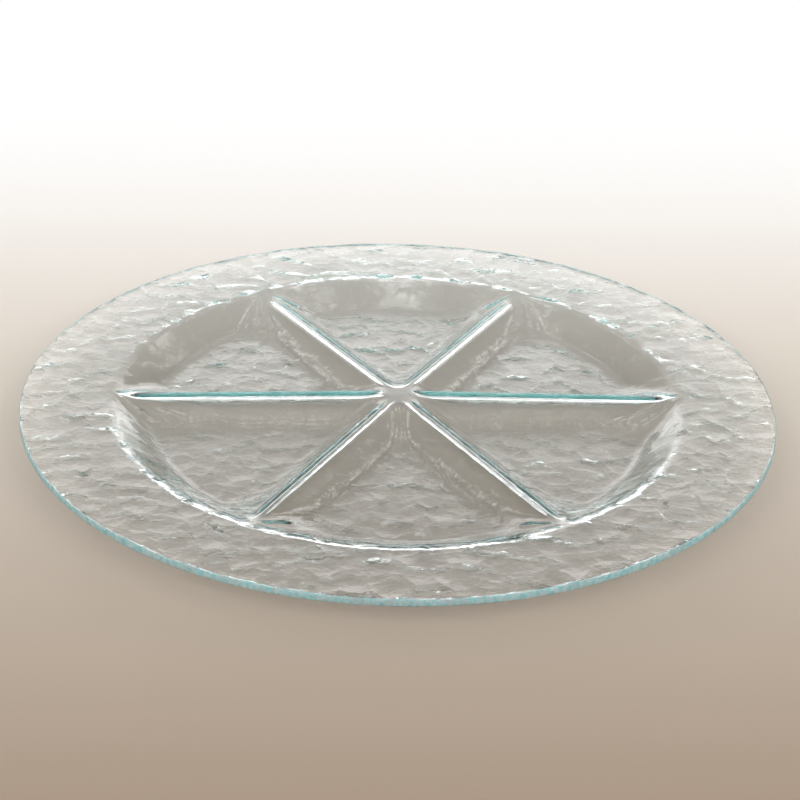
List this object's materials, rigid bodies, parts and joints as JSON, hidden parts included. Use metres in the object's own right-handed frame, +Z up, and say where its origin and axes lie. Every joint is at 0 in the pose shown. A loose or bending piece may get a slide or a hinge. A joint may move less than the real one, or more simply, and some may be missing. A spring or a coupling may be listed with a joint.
{
  "type": "divided serving platter",
  "caption": "Round serving platter of clear hammered glass: wide flat rim around a shallow well, split by low radial folds into wedge-shaped pockets for chips and dips.",
  "frame": {"origin": "on the table, at the centre of the platter", "axes": "+Z up out of the pockets, +X along one divider"},
  "size_m": [0.406, 0.406, 0.0185],
  "materials": {
    "clear_glass": "clear soda-lime glass, hammered upper face, smooth under face, ground edge"
  },
  "bodies": {
    "root": {"divided_platter": "clear_glass"}
  },
  "joints": []
}
